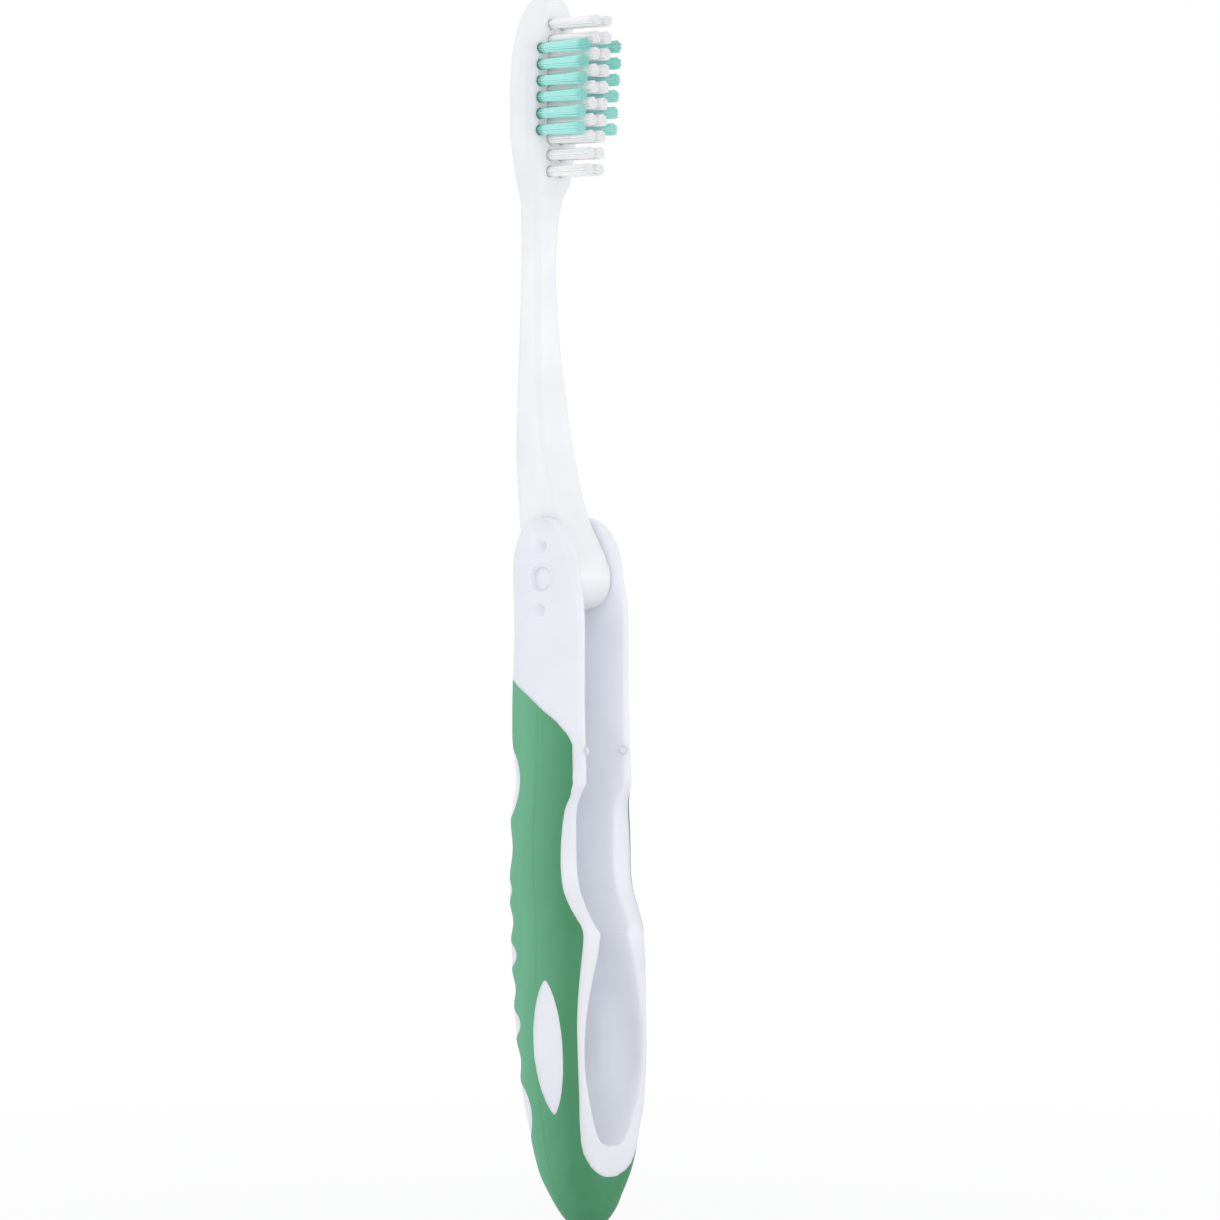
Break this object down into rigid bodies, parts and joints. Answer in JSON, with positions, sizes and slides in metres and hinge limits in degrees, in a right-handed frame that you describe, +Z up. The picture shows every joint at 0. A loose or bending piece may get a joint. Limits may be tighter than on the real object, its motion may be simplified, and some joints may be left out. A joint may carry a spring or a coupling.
{
  "type": "folding travel toothbrush",
  "caption": "Folding travel toothbrush: the head and neck turn on a pin and fold into a recess in a soft-covered handle.",
  "frame": {"origin": "middle of the bounding box's underside, below the handle's butt, with the brush open and upright", "axes": "+Z up along the handle towards the head, -Y towards the side that the bristles face, X along the hinge pin"},
  "size_m": [0.0146, 0.0175, 0.175],
  "materials": {
    "handle_white": "moulded polypropylene, satin",
    "grip_green": "moulded thermoplastic elastomer, matt",
    "neck_white": "moulded polypropylene, satin",
    "pin_white": "moulded acetal, satin",
    "anchor_metal": "rolled strip",
    "white_bristle": "nylon filament",
    "mint_bristle": "nylon filament"
  },
  "bodies": {
    "handle": {"handle_body": "handle_white", "grip_cover": "grip_green", "hinge_pin": "pin_white"},
    "head": {"neck_head": "neck_white", "tuft_anchors": "anchor_metal", "white_tuft_left_1": "white_bristle", "white_tuft_left_2": "white_bristle", "white_tuft_left_3": "white_bristle", "white_tuft_left_4": "white_bristle", "white_tuft_left_5": "white_bristle", "white_tuft_left_6": "white_bristle", "white_tuft_left_7": "white_bristle", "white_tuft_left_8": "white_bristle", "white_tuft_left_9": "white_bristle", "white_tuft_left_10": "white_bristle", "white_tuft_right_1": "white_bristle", "white_tuft_right_2": "white_bristle", "white_tuft_right_3": "white_bristle", "white_tuft_right_4": "white_bristle", "white_tuft_right_5": "white_bristle", "white_tuft_right_6": "white_bristle", "white_tuft_right_7": "white_bristle", "white_tuft_right_8": "white_bristle", "white_tuft_right_9": "white_bristle", "white_tuft_right_10": "white_bristle", "mint_tuft_left_1": "mint_bristle", "mint_tuft_left_2": "mint_bristle", "mint_tuft_left_3": "mint_bristle", "mint_tuft_left_4": "mint_bristle", "mint_tuft_left_5": "mint_bristle", "mint_tuft_left_6": "mint_bristle", "mint_tuft_right_1": "mint_bristle", "mint_tuft_right_2": "mint_bristle", "mint_tuft_right_3": "mint_bristle", "mint_tuft_right_4": "mint_bristle", "mint_tuft_right_5": "mint_bristle", "mint_tuft_right_6": "mint_bristle"}
  },
  "joints": [
    {"name": "neck_fold", "type": "hinge", "parent": "handle", "child": "head", "pos_m": [0, -0.00015, 0.0921], "axis": [1, 0, 0], "range_deg": [0, 175.5]}
  ]
}
